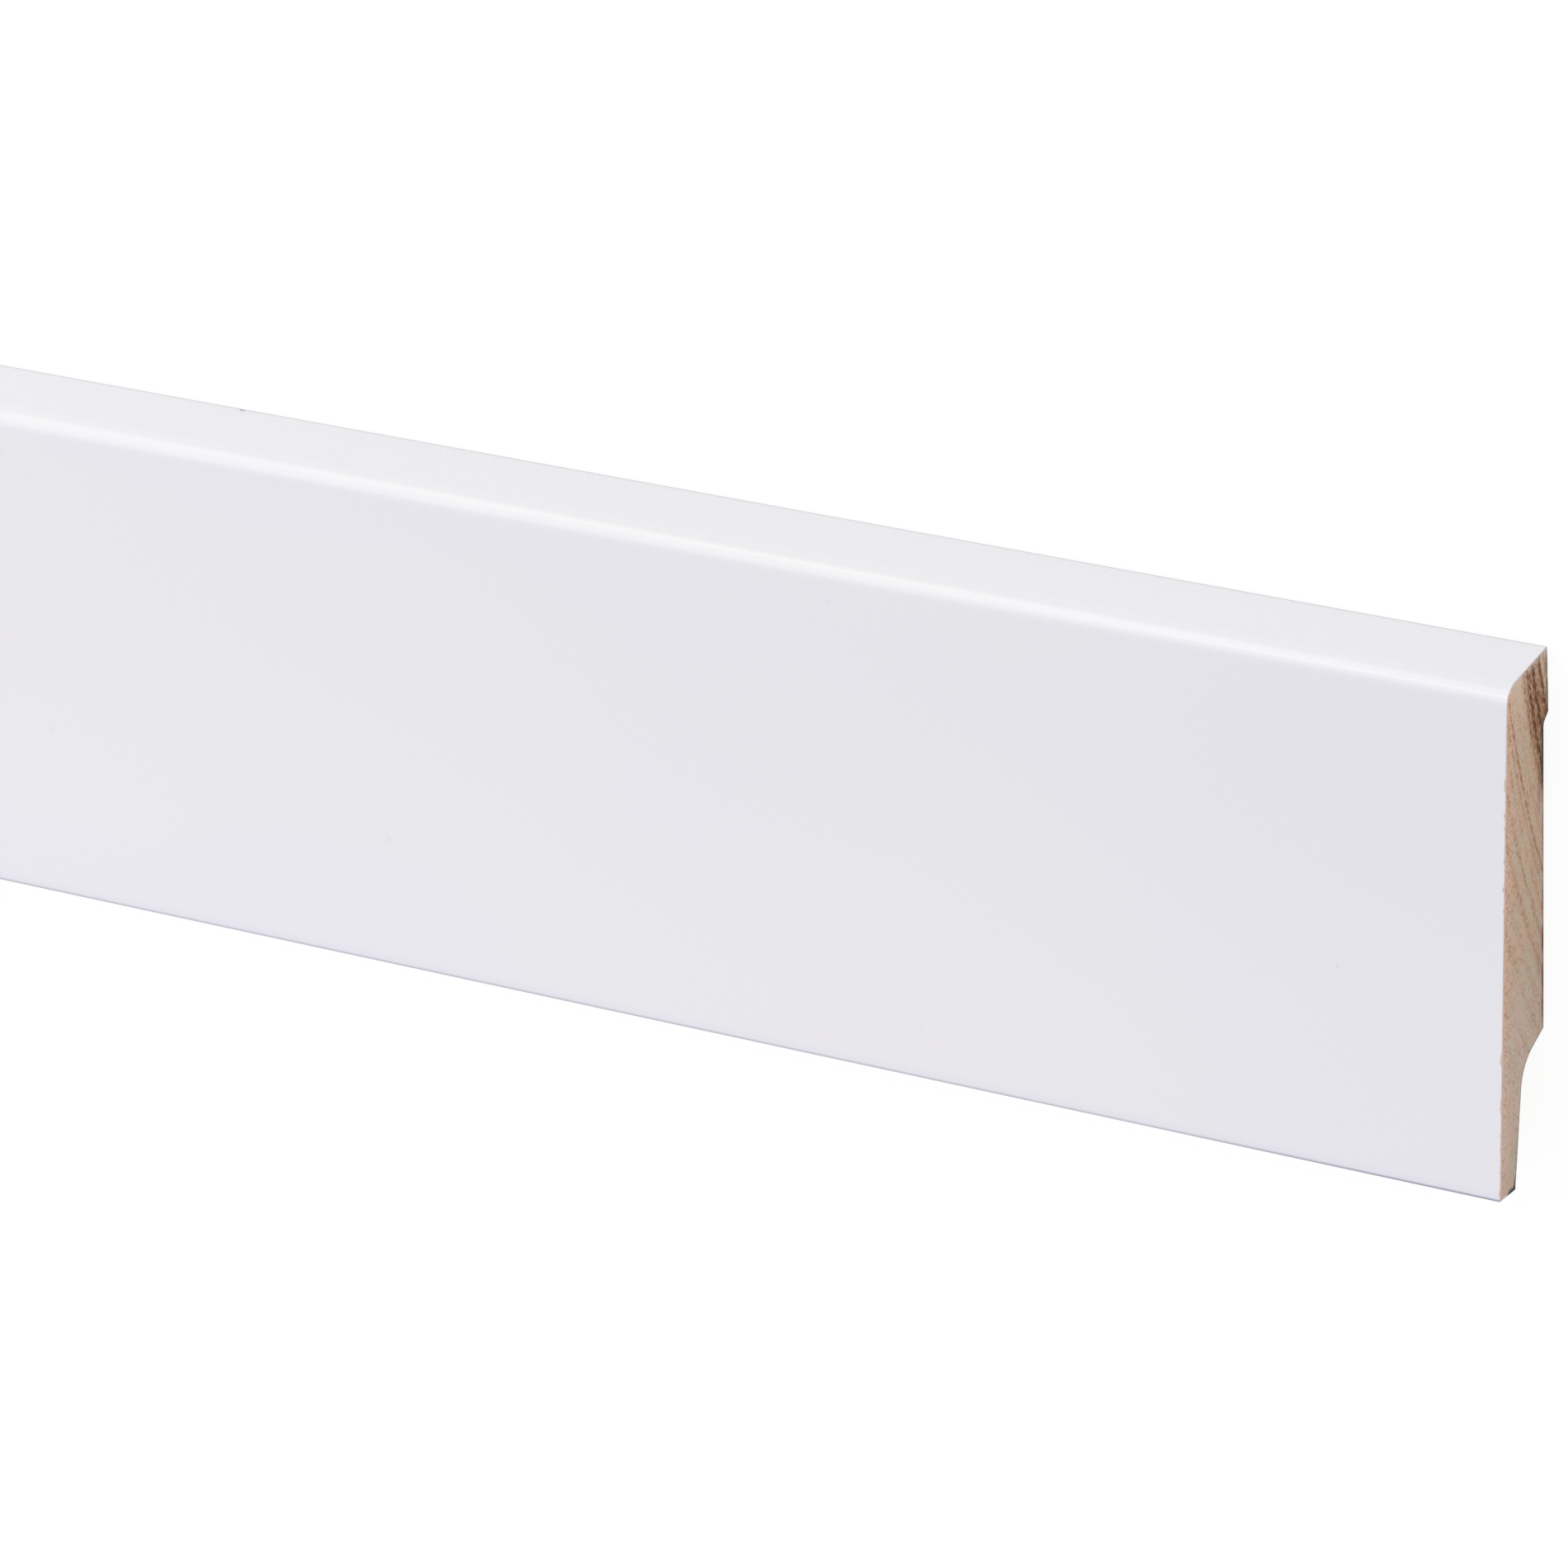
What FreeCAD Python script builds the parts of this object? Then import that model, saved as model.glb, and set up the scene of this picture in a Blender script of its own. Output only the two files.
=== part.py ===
import FreeCAD, Part
import math
import os

import Sketcher

# One length of solid softwood skirting board, run through a moulder and sawn square at both ends.
# It lies on its back: the painted face looks up, the bottom edge is towards -Y and the top edge
# towards +Y. Its length runs along X, and the origin is on the floor under its middle.

doc = FreeCAD.newDocument("SkirtingBoard")


# Sizes in millimetres and degrees. Heights are those of the board as it is fitted to a wall.
sizes = doc.addObject("Spreadsheet::Sheet", "Sizes")
driving_sizes = [
    ("length", 2400, "stock length between the sawn ends"),
    ("height", 95, "bottom edge to the back of the top edge"),
    ("thickness", 16, "painted face to the wall"),
    ("top_thickness", 15.1, "thickness at the top, where the land leans away from the wall"),
    ("top_slope", 10.5, "fall of the top edge towards the room"),
    ("land_height", 11.8, "land that bears on the wall at the top"),
    ("undercut_slope", 42, "slope of the undercut below the land"),
    ("relief_depth", 1.8, "back relief at its upper end, which runs out to nothing at its lower end"),
    ("recess_height", 26, "cable recess, from the bottom edge to where it meets the wall"),
    ("recess_roof_slope", 26.5, "slope of the cable recess's roof"),
    ("foot_thickness", 6, "leg in front of the cable recess, at the bottom edge"),
    ("leg_taper", 5.3, "lean of the leg's back"),
    ("cove_radius", 7.5, "hollow between the leg and the recess's roof"),
    ("undercut_radius", 1.5, "hollow between the undercut and the back relief"),
    ("top_round_radius", 4, "rounding between the face and the top edge"),
    ("foot_round_radius", 0.3, "rounding between the face and the bottom edge"),
]
for row, (alias, value, meaning) in enumerate(driving_sizes, start=1):
    sizes.set("A%d" % row, alias)
    sizes.set("B%d" % row, str(value))
    sizes.setAlias("B%d" % row, alias)
    sizes.set("C%d" % row, meaning)
doc.recompute()


board = doc.addObject("PartDesign::Body", "SkirtingBoard")
board.Label = "skirting_board"
board.Placement = FreeCAD.Placement()


# The section across the length, before its corners are rounded. Its first axis runs from the
# bottom edge to the top edge, its second from the wall to the painted face.
def steepness(angle):
    return math.tan(math.radians(angle))


recess_depth = sizes.thickness - sizes.foot_thickness
cove_height = sizes.recess_height - recess_depth * steepness(sizes.recess_roof_slope)
cove_height = cove_height / (1 - steepness(sizes.leg_taper) * steepness(sizes.recess_roof_slope))
cove_from_wall = recess_depth - cove_height * steepness(sizes.leg_taper)
land_foot = sizes.height - sizes.land_height
undercut_height = land_foot - sizes.relief_depth * steepness(sizes.undercut_slope)
face_height = sizes.height - sizes.top_thickness * steepness(sizes.top_slope)

heights_and_distances_from_wall = {
    "foot_front": (0, sizes.thickness),
    "foot_back": (0, recess_depth),
    "cove": (cove_height, cove_from_wall),
    "recess_lip": (sizes.recess_height, 0),
    "undercut": (undercut_height, sizes.relief_depth),
    "land_lip": (land_foot, 0),
    "top_back": (sizes.height, sizes.thickness - sizes.top_thickness),
    "top_front": (face_height, sizes.thickness),
}
corners = {}
for name, (rise, from_wall) in heights_and_distances_from_wall.items():
    corners[name] = FreeCAD.Vector(rise - sizes.height / 2, from_wall, 0)

section = board.newObject("Sketcher::SketchObject", "Section")
for plane in board.Origin.OriginFeatures:
    if plane.Role == "YZ_Plane":
        section.AttachmentSupport = [(plane, "")]
section.MapMode = "FlatFace"

# The sides in order round the section, each with the corner that it starts from.
START = 1
END = 2
ACROSS_AXIS = -1
side_starts = {
    "bottom_edge": "foot_front",
    "leg_back": "foot_back",
    "recess_roof": "cove",
    "relief": "recess_lip",
    "undercut": "undercut",
    "land": "land_lip",
    "top_edge": "top_back",
    "face": "top_front",
}
names = list(side_starts)
following = dict(zip(names, names[1:] + names[:1]))
side = {}
for name, start in side_starts.items():
    line = Part.LineSegment(corners[start], corners[side_starts[following[name]]])
    side[name] = section.addGeometry(line, False)
for name in names:
    meeting = Sketcher.Constraint("Coincident", side[name], END, side[following[name]], START)
    section.addConstraint(meeting)

section.addConstraint(Sketcher.Constraint("Vertical", side["bottom_edge"]))
section.addConstraint(Sketcher.Constraint("Horizontal", side["face"]))
section.addConstraint(Sketcher.Constraint("PointOnObject", side["relief"], START, ACROSS_AXIS))
section.addConstraint(Sketcher.Constraint("PointOnObject", side["land"], START, ACROSS_AXIS))


def bind(name, formula, kind, *ends):
    value = float(section.evalExpression(formula))
    if kind == "Angle":
        value = math.radians(value)
    place = section.addConstraint(Sketcher.Constraint(kind, *ends, value))
    section.renameConstraint(place, name)
    section.setExpression(".Constraints." + name, formula)


bind("bottom_place", "-Sizes.height / 2", "DistanceX", side["bottom_edge"], START)
bind("top_place", "Sizes.height / 2", "DistanceX", side["top_edge"], START)
bind("face_to_wall", "Sizes.thickness", "DistanceY", side["face"], START)
bind("foot", "Sizes.foot_thickness", "DistanceY", side["bottom_edge"], END, side["bottom_edge"], START)
bind("recess", "Sizes.recess_height", "DistanceX", side["bottom_edge"], START, side["relief"], START)
bind("relief_end", "Sizes.relief_depth", "DistanceY", side["undercut"], START)
bind("land", "Sizes.land_height", "DistanceX", side["land"], START, side["land"], END)
bind("top", "Sizes.top_thickness", "DistanceY", side["top_edge"], START, side["top_edge"], END)
bind("leg_lean", "-Sizes.leg_taper", "Angle", side["leg_back"])
bind("roof_lean", "Sizes.recess_roof_slope - 90", "Angle", side["recess_roof"])
bind("undercut_lean", "Sizes.undercut_slope - 90", "Angle", side["undercut"])
bind("top_lean", "Sizes.top_slope + 90", "Angle", side["top_edge"])

stock = board.newObject("PartDesign::Pad", "Stock")
stock.Profile = section
stock.SideType = "Symmetric"
stock.setExpression("Length", "Sizes.length")
doc.recompute()


# Each rounding runs the whole length, along the edge that lies on its corner of the section.
def round_corner(name, corner, radius):
    before = board.Tip
    long_edges = []
    for number, edge in enumerate(before.Shape.Edges, start=1):
        middle = edge.CenterOfMass
        if FreeCAD.Vector(middle.y, middle.z, 0).isEqual(corners[corner], 0.001):
            long_edges.append("Edge%d" % number)
    rounding = board.newObject("PartDesign::Fillet", name)
    rounding.Base = (before, long_edges)
    rounding.setExpression("Radius", radius)
    doc.recompute()


round_corner("Cove", "cove", "Sizes.cove_radius")
round_corner("UndercutHollow", "undercut", "Sizes.undercut_radius")
round_corner("TopRound", "top_front", "Sizes.top_round_radius")
round_corner("FootRound", "foot_front", "Sizes.foot_round_radius")


for thing in doc.Objects:
    if "Invalid" in thing.State or "Error" in thing.State:
        raise RuntimeError(thing.Label + " could not be made")
if board.Shape.isNull() or not board.Shape.isValid():
    raise RuntimeError("the board's solid is not valid")

os.makedirs("parts", exist_ok=True)
board.Shape.exportStep("parts/" + board.Label + ".step")

box = board.Shape.BoundBox
print(board.Label, "is", round(box.XLength, 2), "long,", round(box.YLength, 2), "across and",
      round(box.ZLength, 2), "thick, in mm, with", round(board.Shape.Volume / 1000, 1), "cm3 of wood")
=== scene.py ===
# %% [markdown]
# A skirting board hides the joint between a wall and a floor. This one is a single length of softwood,
# run through a moulder that cuts its hollowed back, lacquered white on its face and edges, and sawn
# square at both ends. The workshop model gives the solid board; this lesson dresses it with a lacquer
# that chips at the saw cuts, planed wood on the back, and growth rings that show on the sawn ends.

import math

import bpy
import numpy as np
from mathutils import Matrix, Vector
from mathutils.geometry import delaunay_2d_cdt


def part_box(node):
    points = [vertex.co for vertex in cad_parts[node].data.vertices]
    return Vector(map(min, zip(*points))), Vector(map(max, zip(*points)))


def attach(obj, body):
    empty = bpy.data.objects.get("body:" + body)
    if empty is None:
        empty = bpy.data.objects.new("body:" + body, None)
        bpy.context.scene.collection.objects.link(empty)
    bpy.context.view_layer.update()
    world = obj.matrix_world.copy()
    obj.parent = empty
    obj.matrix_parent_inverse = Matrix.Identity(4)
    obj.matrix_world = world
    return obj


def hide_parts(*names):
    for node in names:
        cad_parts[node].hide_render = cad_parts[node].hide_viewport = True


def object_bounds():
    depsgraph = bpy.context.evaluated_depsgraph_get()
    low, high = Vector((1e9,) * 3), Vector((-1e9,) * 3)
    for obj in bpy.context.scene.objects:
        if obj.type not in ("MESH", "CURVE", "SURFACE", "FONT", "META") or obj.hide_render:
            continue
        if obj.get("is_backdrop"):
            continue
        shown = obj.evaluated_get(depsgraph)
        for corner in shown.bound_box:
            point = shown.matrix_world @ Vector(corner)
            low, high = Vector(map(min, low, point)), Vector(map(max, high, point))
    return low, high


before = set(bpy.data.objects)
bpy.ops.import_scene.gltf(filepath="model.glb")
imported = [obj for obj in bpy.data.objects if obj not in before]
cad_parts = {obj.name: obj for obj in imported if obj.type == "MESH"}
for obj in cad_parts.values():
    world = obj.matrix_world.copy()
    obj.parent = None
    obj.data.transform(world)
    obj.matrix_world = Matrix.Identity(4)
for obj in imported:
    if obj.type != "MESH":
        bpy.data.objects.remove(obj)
cad_low, cad_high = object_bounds()
board_low, board_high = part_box("skirting_board")

MM = 0.001
length, height, thickness = [side / MM for side in board_high - board_low]
right_end = board_high.x / MM
left_end = board_low.x / MM
print("the board is", round(length), "x", round(height), "x", round(thickness, 1), "mm")

# %% [markdown]
# The board is photographed from beyond its right end, through a long lens, so that only its last three
# hundred millimetres are in the picture. The board lies on its back and the camera looks down on it.
# A camera can be aimed with a constraint, but working out its three directions by hand keeps the
# slight roll of the picture, and nothing has to be tracked later.

# %% The camera
aim_from_right_end = 138.36
aim_above_middle = 2.6
camera_distance = 1542.5
camera_bearing = math.radians(37.82)
camera_elevation = math.radians(53.09)
camera_roll = math.radians(-1.06)
lens_length = 204.24
sensor_width = 36

aim = Vector((right_end - aim_from_right_end, aim_above_middle, thickness)) * MM
level_part = math.cos(camera_elevation)
to_camera = Vector((
    math.cos(camera_bearing) * level_part,
    math.sin(camera_bearing) * level_part,
    math.sin(camera_elevation),
))
board_up = Vector((0, 1, 0))
picture_right = board_up.cross(to_camera).normalized()
picture_up = to_camera.cross(picture_right)
rolled = Matrix.Rotation(camera_roll, 3, to_camera)
turn = rolled @ Matrix((picture_right, picture_up, to_camera)).transposed()

camera = bpy.data.objects.new("camera", bpy.data.cameras.new("camera"))
camera.matrix_world = Matrix.Translation(aim + to_camera * camera_distance * MM) @ turn.to_4x4()
camera.data.lens = lens_length
camera.data.sensor_width = sensor_width
bpy.context.scene.collection.objects.link(camera)
bpy.context.scene.camera = camera
bpy.context.scene.view_settings.view_transform = "Standard"
print("the camera stands at", [round(place / MM) for place in camera.matrix_world.translation], "mm")

# %% [markdown]
# Surfaces are made of shader nodes, and a finish needs dozens of them. Wiring each by hand hides the
# idea behind the plumbing. So a small class stands for one wire: adding or multiplying two wires adds
# the Math node that does it, and a finish can then be written like a sum. Every other node comes from
# the bench's one method, which takes the kind of node, its settings and what goes into its sockets.

# %% A wire that can be reckoned with
class Wire:
    def __init__(self, bench, socket):
        self.bench = bench
        self.socket = socket

    def maths(self, operation, *others):
        inputs = dict(enumerate((self,) + others))
        return self.bench.node("ShaderNodeMath", {"operation": operation}, inputs)

    def __add__(self, other):
        return self.maths("ADD", other)

    def __sub__(self, other):
        return self.maths("SUBTRACT", other)

    def __mul__(self, other):
        return self.maths("MULTIPLY", other)

    def __truediv__(self, other):
        return self.maths("DIVIDE", other)

    def __pow__(self, other):
        return self.maths("POWER", other)

    def __rsub__(self, other):
        return self * -1 + other

    def __rtruediv__(self, other):
        return self ** -1 * other

    __radd__ = __add__
    __rmul__ = __mul__


print("wires can be added, taken away, multiplied, divided and raised to a power")

# %% The bench on which nodes are made
class Bench:
    def __init__(self, tree):
        self.tree = tree
        tree.nodes.clear()

    def node(self, kind, settings, inputs, output=0):
        made = self.tree.nodes.new(kind)
        for name, setting in settings.items():
            setattr(made, name, setting)
        for name, value in inputs.items():
            if isinstance(value, Wire):
                self.tree.links.new(value.socket, made.inputs[name])
            else:
                made.inputs[name].default_value = value
        return Wire(self, made.outputs[output]) if made.outputs else made


print("the bench makes any node from its kind, its settings and its inputs")

# %% [markdown]
# Four more helpers save writing. One picks a colour by its swatch numbers, as a paint shop does, and
# turns it into the light that it gives back. One slides a mask smoothly from nothing to full between
# two values. One mixes two colours by a mask; colours never go through a Math node, which would
# leave them grey. The last lays one tint after another over a colour, each through its own mask.

# %% Swatches, masks and mixes
# A Mix node's sockets for colours come after those for numbers and vectors.
FIRST_COLOUR = 6
SECOND_COLOUR = 7
MIXED_COLOUR = 2


def swatch(red, green, blue):
    light = [((part / 255 + 0.055) / 1.055) ** 2.4 for part in (red, green, blue)]
    return (*light, 1)


def ramp(value, start, full):
    inputs = {"Value": value, "From Min": start, "From Max": full}
    return value.bench.node("ShaderNodeMapRange", {"interpolation_type": "SMOOTHSTEP"}, inputs)


def mixed(mask, first, second):
    inputs = {0: mask, FIRST_COLOUR: first, SECOND_COLOUR: second}
    return mask.bench.node("ShaderNodeMix", {"data_type": "RGBA"}, inputs, MIXED_COLOUR)


def tinted(colour, tints):
    for mask, tint in tints:
        colour = mixed(mask, colour, tint)
    return colour


print("a mid grey swatch gives back", round(swatch(128, 128, 128)[0], 3), "of the light")

# %% [markdown]
# The room is as plain as it can be: a pale floor, an even sky, one softbox and two slim tubes. The
# sky and the floor show as white to the camera and in reflections, while the light that they throw
# stays at the level where a colour renders as it was mixed. Raising the lamps until the floor clips
# would bleach the lacquer as well. The floor is a dim matt surface plus a glow, so the board's shadow
# stays on it.

# %% The sky
def seen_directly(bench):
    rays = ["Is Camera Ray", "Is Glossy Ray", "Is Transmission Ray"]
    camera_ray, glossy_ray, clear_ray = [bench.node("ShaderNodeLightPath", {}, {}, ray) for ray in rays]
    return camera_ray.maths("MAXIMUM", glossy_ray).maths("MAXIMUM", clear_ray)


white_light = (1, 1, 1, 1)
sky_level = 0.782

world = bpy.data.worlds.new("studio")
world.use_nodes = True
bpy.context.scene.world = world
bench = Bench(world.node_tree)
lighting = bench.node("ShaderNodeBackground", {}, {"Color": white_light, "Strength": sky_level})
shown = bench.node("ShaderNodeBackground", {}, {"Color": white_light, "Strength": 1})
sky = bench.node("ShaderNodeMixShader", {}, {0: seen_directly(bench), 1: lighting, 2: shown})
bench.node("ShaderNodeOutputWorld", {}, {"Surface": sky})
print("the sky lights the board at", sky_level, "and shows as 1")

# %% The floor
floor_half = 15
floor_gap = 0.01 * MM
floor_level = board_low.z - floor_gap
floor_bounce = 0.8
floor_matt = 0.12
floor_glow = 0.91

floor_corners = [(-1, -1), (1, -1), (1, 1), (-1, 1)]
floor_places = [(x * floor_half, y * floor_half, floor_level) for x, y in floor_corners]
floor_mesh = bpy.data.meshes.new("floor")
floor_mesh.from_pydata(floor_places, [], [(0, 1, 2, 3)])
floor = bpy.data.objects.new("floor", floor_mesh)
bpy.context.scene.collection.objects.link(floor)
floor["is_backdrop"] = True

floor_finish = bpy.data.materials.new("pale_floor")
floor_finish.use_nodes = True
bench = Bench(floor_finish.node_tree)
lit = bench.node("ShaderNodeBsdfDiffuse", {}, {"Color": (floor_bounce, floor_bounce, floor_bounce, 1)})
dim = bench.node("ShaderNodeBsdfDiffuse", {}, {"Color": (floor_matt, floor_matt, floor_matt, 1)})
glow = bench.node("ShaderNodeEmission", {}, {"Color": white_light, "Strength": floor_glow})
shown = bench.node("ShaderNodeAddShader", {}, {0: dim, 1: glow})
surface = bench.node("ShaderNodeMixShader", {}, {0: seen_directly(bench), 1: lit, 2: shown})
bench.node("ShaderNodeOutputMaterial", {}, {"Surface": surface})
floor_mesh.materials.append(floor_finish)
print("the floor lies", round((board_low.z - floor_level) / MM, 3), "mm under the board")

# %% [markdown]
# A glossy rounding shows its lamp as a bright line, and the lamp's size and place decide where that
# line starts and ends. On the photographed board it runs along the top rounding and stops sharply
# just before the flat face. So the lamp is a tall softbox behind the board, to its left, and its long
# side stands square to the board. It also makes the face a little darker towards the right, as it is in
# the photograph. Two slim tubes in front of it, a little warmer than the softbox, draw the two finer
# lines that run in the bright one.

# %% The lamps
along_board = Vector((1, 0, 0))
lit_spot = Vector((right_end - 150, 40, 10)) * MM


def softbox(name, direction, distance, wide, tall, brightness, colour=(1, 1, 1)):
    place = lit_spot + Vector(direction) * distance
    away_from_board = (place - lit_spot).normalized()
    tall_way = away_from_board.cross(along_board).normalized()
    wide_way = tall_way.cross(away_from_board)
    turn = Matrix((wide_way, tall_way, away_from_board)).transposed()
    lamp = bpy.data.lights.new(name, "AREA")
    lamp.color = colour
    lamp.shape = "RECTANGLE"
    lamp.size = wide
    lamp.size_y = tall
    lamp.energy = brightness * math.pi * wide * tall
    box = bpy.data.objects.new(name, lamp)
    box.matrix_world = Matrix.Translation(place) @ turn.to_4x4()
    bpy.context.scene.collection.objects.link(box)
    print(name, "gives", round(lamp.energy), "watts")


softbox("softbox", (-0.5, 0.55, 0.67), 1.45, wide=0.75, tall=1.6, brightness=1.68)
softbox("tube", (-0.47, 0.71, 0.51), 1.38, wide=0.16, tall=0.05, brightness=20, colour=(0.98, 1, 0.82))
softbox("end_tube", (-0.3, 0.51, 0.74), 1.41, wide=0.12, tall=0.07, brightness=23, colour=(1, 1, 0.85))

# %% [markdown]
# The section is what the moulder's knives cut. Its corners follow from a few sizes that a joiner
# would measure, so they are worked out here and not typed in as a list of points. Heights are those
# of the board on a wall: from the bottom edge up. On the floor, height runs along Y, and the distance
# from the wall runs up along Z.

# %% The corners of the section
top_thickness = 15.1
top_slope = 10.5
land_height = 11.8
undercut_slope = 42
relief_depth = 1.8
recess_height = 26
recess_roof_slope = 26.5
foot_thickness = 6
leg_taper = 5.3


def steepness(angle):
    return math.tan(math.radians(angle))


recess_depth = thickness - foot_thickness
cove_height = recess_height - recess_depth * steepness(recess_roof_slope)
cove_height = cove_height / (1 - steepness(leg_taper) * steepness(recess_roof_slope))
cove_from_wall = recess_depth - cove_height * steepness(leg_taper)
land_foot = height - land_height
undercut_height = land_foot - relief_depth * steepness(undercut_slope)
face_height = height - top_thickness * steepness(top_slope)

# Each corner: its height, its distance from the wall, and the radius that its arris is worn or cut to.
corners = {
    "foot_front": (0, thickness, 0.09),
    "foot_back": (0, recess_depth, 0.2),
    "cove": (cove_height, cove_from_wall, 7.5),
    "recess_lip": (recess_height, 0, 0.15),
    "undercut": (undercut_height, relief_depth, 1.5),
    "land_lip": (land_foot, 0, 0.15),
    "top_back": (height, thickness - top_thickness, 0.25),
    "top_front": (face_height, thickness, 4),
}
print("the section has", len(corners), "corners")

# %% [markdown]
# A rounded corner is an arc that touches both of its sides. Its centre lies on the line that halves
# the corner. The sides between the arcs are straight, and they are divided into steps: short ones on
# the face, where chipped lacquer needs them, and long ones on the plain back. Just above the foot the
# face was eased by hand, by less than a tenth of a millimetre, so that it rolls over towards the sharp
# arris, which a cutter's arc alone would not show.

# %% Steps along the sides and round the corners
# Each side, in order from the first corner, with the longest step along it.
sides = {
    "bottom_edge": 0.5,
    "leg_back": 0.8,
    "recess_roof": 0.6,
    "relief": 1.0,
    "undercut": 0.3,
    "land": 0.7,
    "top_edge": 0.45,
    "face": 0.25,
}
arc_step = 0.25
fewest_arc_steps = 3
print("the steps along the sides are from", min(sides.values()), "to", max(sides.values()), "mm")

# %% Round a corner
def rounded(before, corner, after, radius):
    back = (before - corner).normalized()
    onward = (after - corner).normalized()
    half = back.angle(onward) / 2
    centre = corner + (back + onward).normalized() * radius / math.sin(half)
    first = corner + back * radius / math.tan(half) - centre
    last = corner + onward * radius / math.tan(half) - centre
    steps = max(fewest_arc_steps, math.ceil((math.pi - 2 * half) * radius / arc_step))
    return [centre + first.slerp(last, step / steps) * radius for step in range(steps + 1)]


square_corner = rounded(Vector((0, 1)), Vector((0, 0)), Vector((1, 0)), 1)
print("a square corner of 1 mm radius takes", len(square_corner), "points")

# %% Go round the section
def section_outline():
    places = [Vector((rise - height / 2, from_wall)) for rise, from_wall, _ in corners.values()]
    radii = [radius for _, _, radius in corners.values()]
    arcs = list(map(rounded, places[-1:] + places[:-1], places, places[1:] + places[:1], radii))
    outline = []
    labels = []
    for name, side, arc, next_arc in zip(corners, sides, arcs, arcs[1:] + arcs[:1]):
        steps = max(1, math.ceil((next_arc[0] - arc[-1]).length / sides[side]))
        outline += arc
        labels += [name] * len(arc)
        outline += [arc[-1].lerp(next_arc[0], step / steps) for step in range(1, steps)]
        labels += [side] * (steps - 1)
    return np.array(outline), np.array(labels)


outline, labels = section_outline()
print("the outline has", len(outline), "points")

# %% Ease the face above the foot
eased_height = 1.9
eased_depth = 0.08


def ease_the_foot(outline):
    rise = outline[:, 0] + height / 2
    sanded = np.clip(1 - rise / eased_height, 0, 1) ** 2 * eased_depth
    in_front = np.clip((outline[:, 1] - recess_depth) / (thickness - recess_depth), 0, 1)
    return outline - np.column_stack([np.zeros(len(outline)), sanded * in_front])


outline = ease_the_foot(outline)
steps_round = np.linalg.norm(np.roll(outline, -1, axis=0) - outline, axis=1)
distance_round = np.concatenate([[0], np.cumsum(steps_round)])
across = outline[:, 0]
up = outline[:, 1]
print("the outline is", round(distance_round[-1], 1), "mm round")

# %% [markdown]
# Growth rings are shells round the middle of the tree, the pith, which here lay far outside the board
# behind the wall. One formula gives how deep in a dark latewood line any spot of the board lies. It is
# written with plain arithmetic, so it works on numbers, to raise the grain of the sawn ends, and on
# wires, to colour the wood. The rings on the ends then run on into the grain along the back.

# %% The growth rings
# Each ring: its radius from the pith, the half width of its dark line and how dark it is.
rings = [
    (187.7, 0.5, 0.44),
    (189.35, 0.55, 0.88),
    (190.2, 1.6, 0.34),
    (191.8, 0.9, 0.82),
    (193.8, 2.5, 0.38),
    (193.8, 0.6, 0.68),
    (195.3, 0.5, 0.25),
    (198.6, 0.5, 0.1),
    (201.0, 0.45, 0.4),
    (202.3, 0.35, 0.24),
    (204.2, 0.35, 0.17),
    (206.6, 0.5, 0.26),
    (209.7, 0.8, 0.2),
    (212.7, 0.5, 0.1),
    (213.6, 0.4, 0.1),
    (216.2, 0.9, 0.1),
    (220.9, 0.8, 0.08),
    (225.5, 0.8, 0.08),
]
print(len(rings), "rings pass through the board, the first", rings[0][0], "mm from the pith")

# %% How deep in a dark line a spot lies
pith_across = 98.5
pith_up = -178
pith_lean_across = -0.004
pith_lean_up = 0.006
sway_length = 210
sway_height = 31
sway_depth = 1.1


def sine(value):
    return value.maths("SINE") if isinstance(value, Wire) else np.sin(value)


def from_pith(along, across, up):
    beyond = right_end - along
    sideways = across - pith_across - beyond * pith_lean_across
    above = up - pith_up - beyond * pith_lean_up
    radius = (sideways * sideways + above * above) ** 0.5
    sway = sine(beyond / sway_length + across / sway_height) - sine(across / sway_height)
    return radius + sway * sway_depth


def latewood(radius):
    dark = 0
    for ring_radius, half_width, darkness in rings:
        off = (radius - ring_radius) / half_width
        dark = darkness / (1 + off * off) ** 2 + dark
    return dark


sample = latewood(from_pith(right_end, across, up))
print("latewood round the end runs from", round(sample.min(), 2), "to", round(sample.max(), 2))

# %% [markdown]
# The lacquer is a film about a tenth of a millimetre thick. On the real board it is sprayed along the
# face and edges, with a little overspray that fades out on the back. The saw then breaks it: small
# chips leave wood showing along the cut. A second mesh for the film would be a shell with a ragged rim;
# a value on every corner of one mesh, from 0 on bare wood to 1 under full lacquer, is lighter and lets
# one finish show both.

# %% How much lacquer lies on each part of the outline
coated = ["face", "top_edge", "top_front", "foot_front", "top_back"]
thinly_coated = ["bottom_edge", "foot_back"]
edge_coat = 0.8
overspray_reach = {"land": 2.2, "leg_back": 3.2}


def lacquer_round_the_outline():
    coat = np.zeros(len(outline))
    coat[np.isin(labels, coated)] = 1
    coat[np.isin(labels, thinly_coated)] = edge_coat
    from_edge = {"land": height / 2 - across, "leg_back": across + height / 2}
    for side, reach in overspray_reach.items():
        here = labels == side
        coat[here] = np.clip(edge_coat - from_edge[side][here] / reach, 0, 1)
    return coat


coat_round = lacquer_round_the_outline()
print(int((coat_round > 0.5).sum()), "of", len(outline), "outline points carry lacquer")

# %% [markdown]
# Each chip is a bite out of the lacquer's edge at the saw cut: so high up the face, so tall, and so far
# along. On the right end they stand where the photograph shows them. The left end isn't in the
# picture, so its chips are drawn by lot, with a fixed seed, and are of the same kind.

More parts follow.
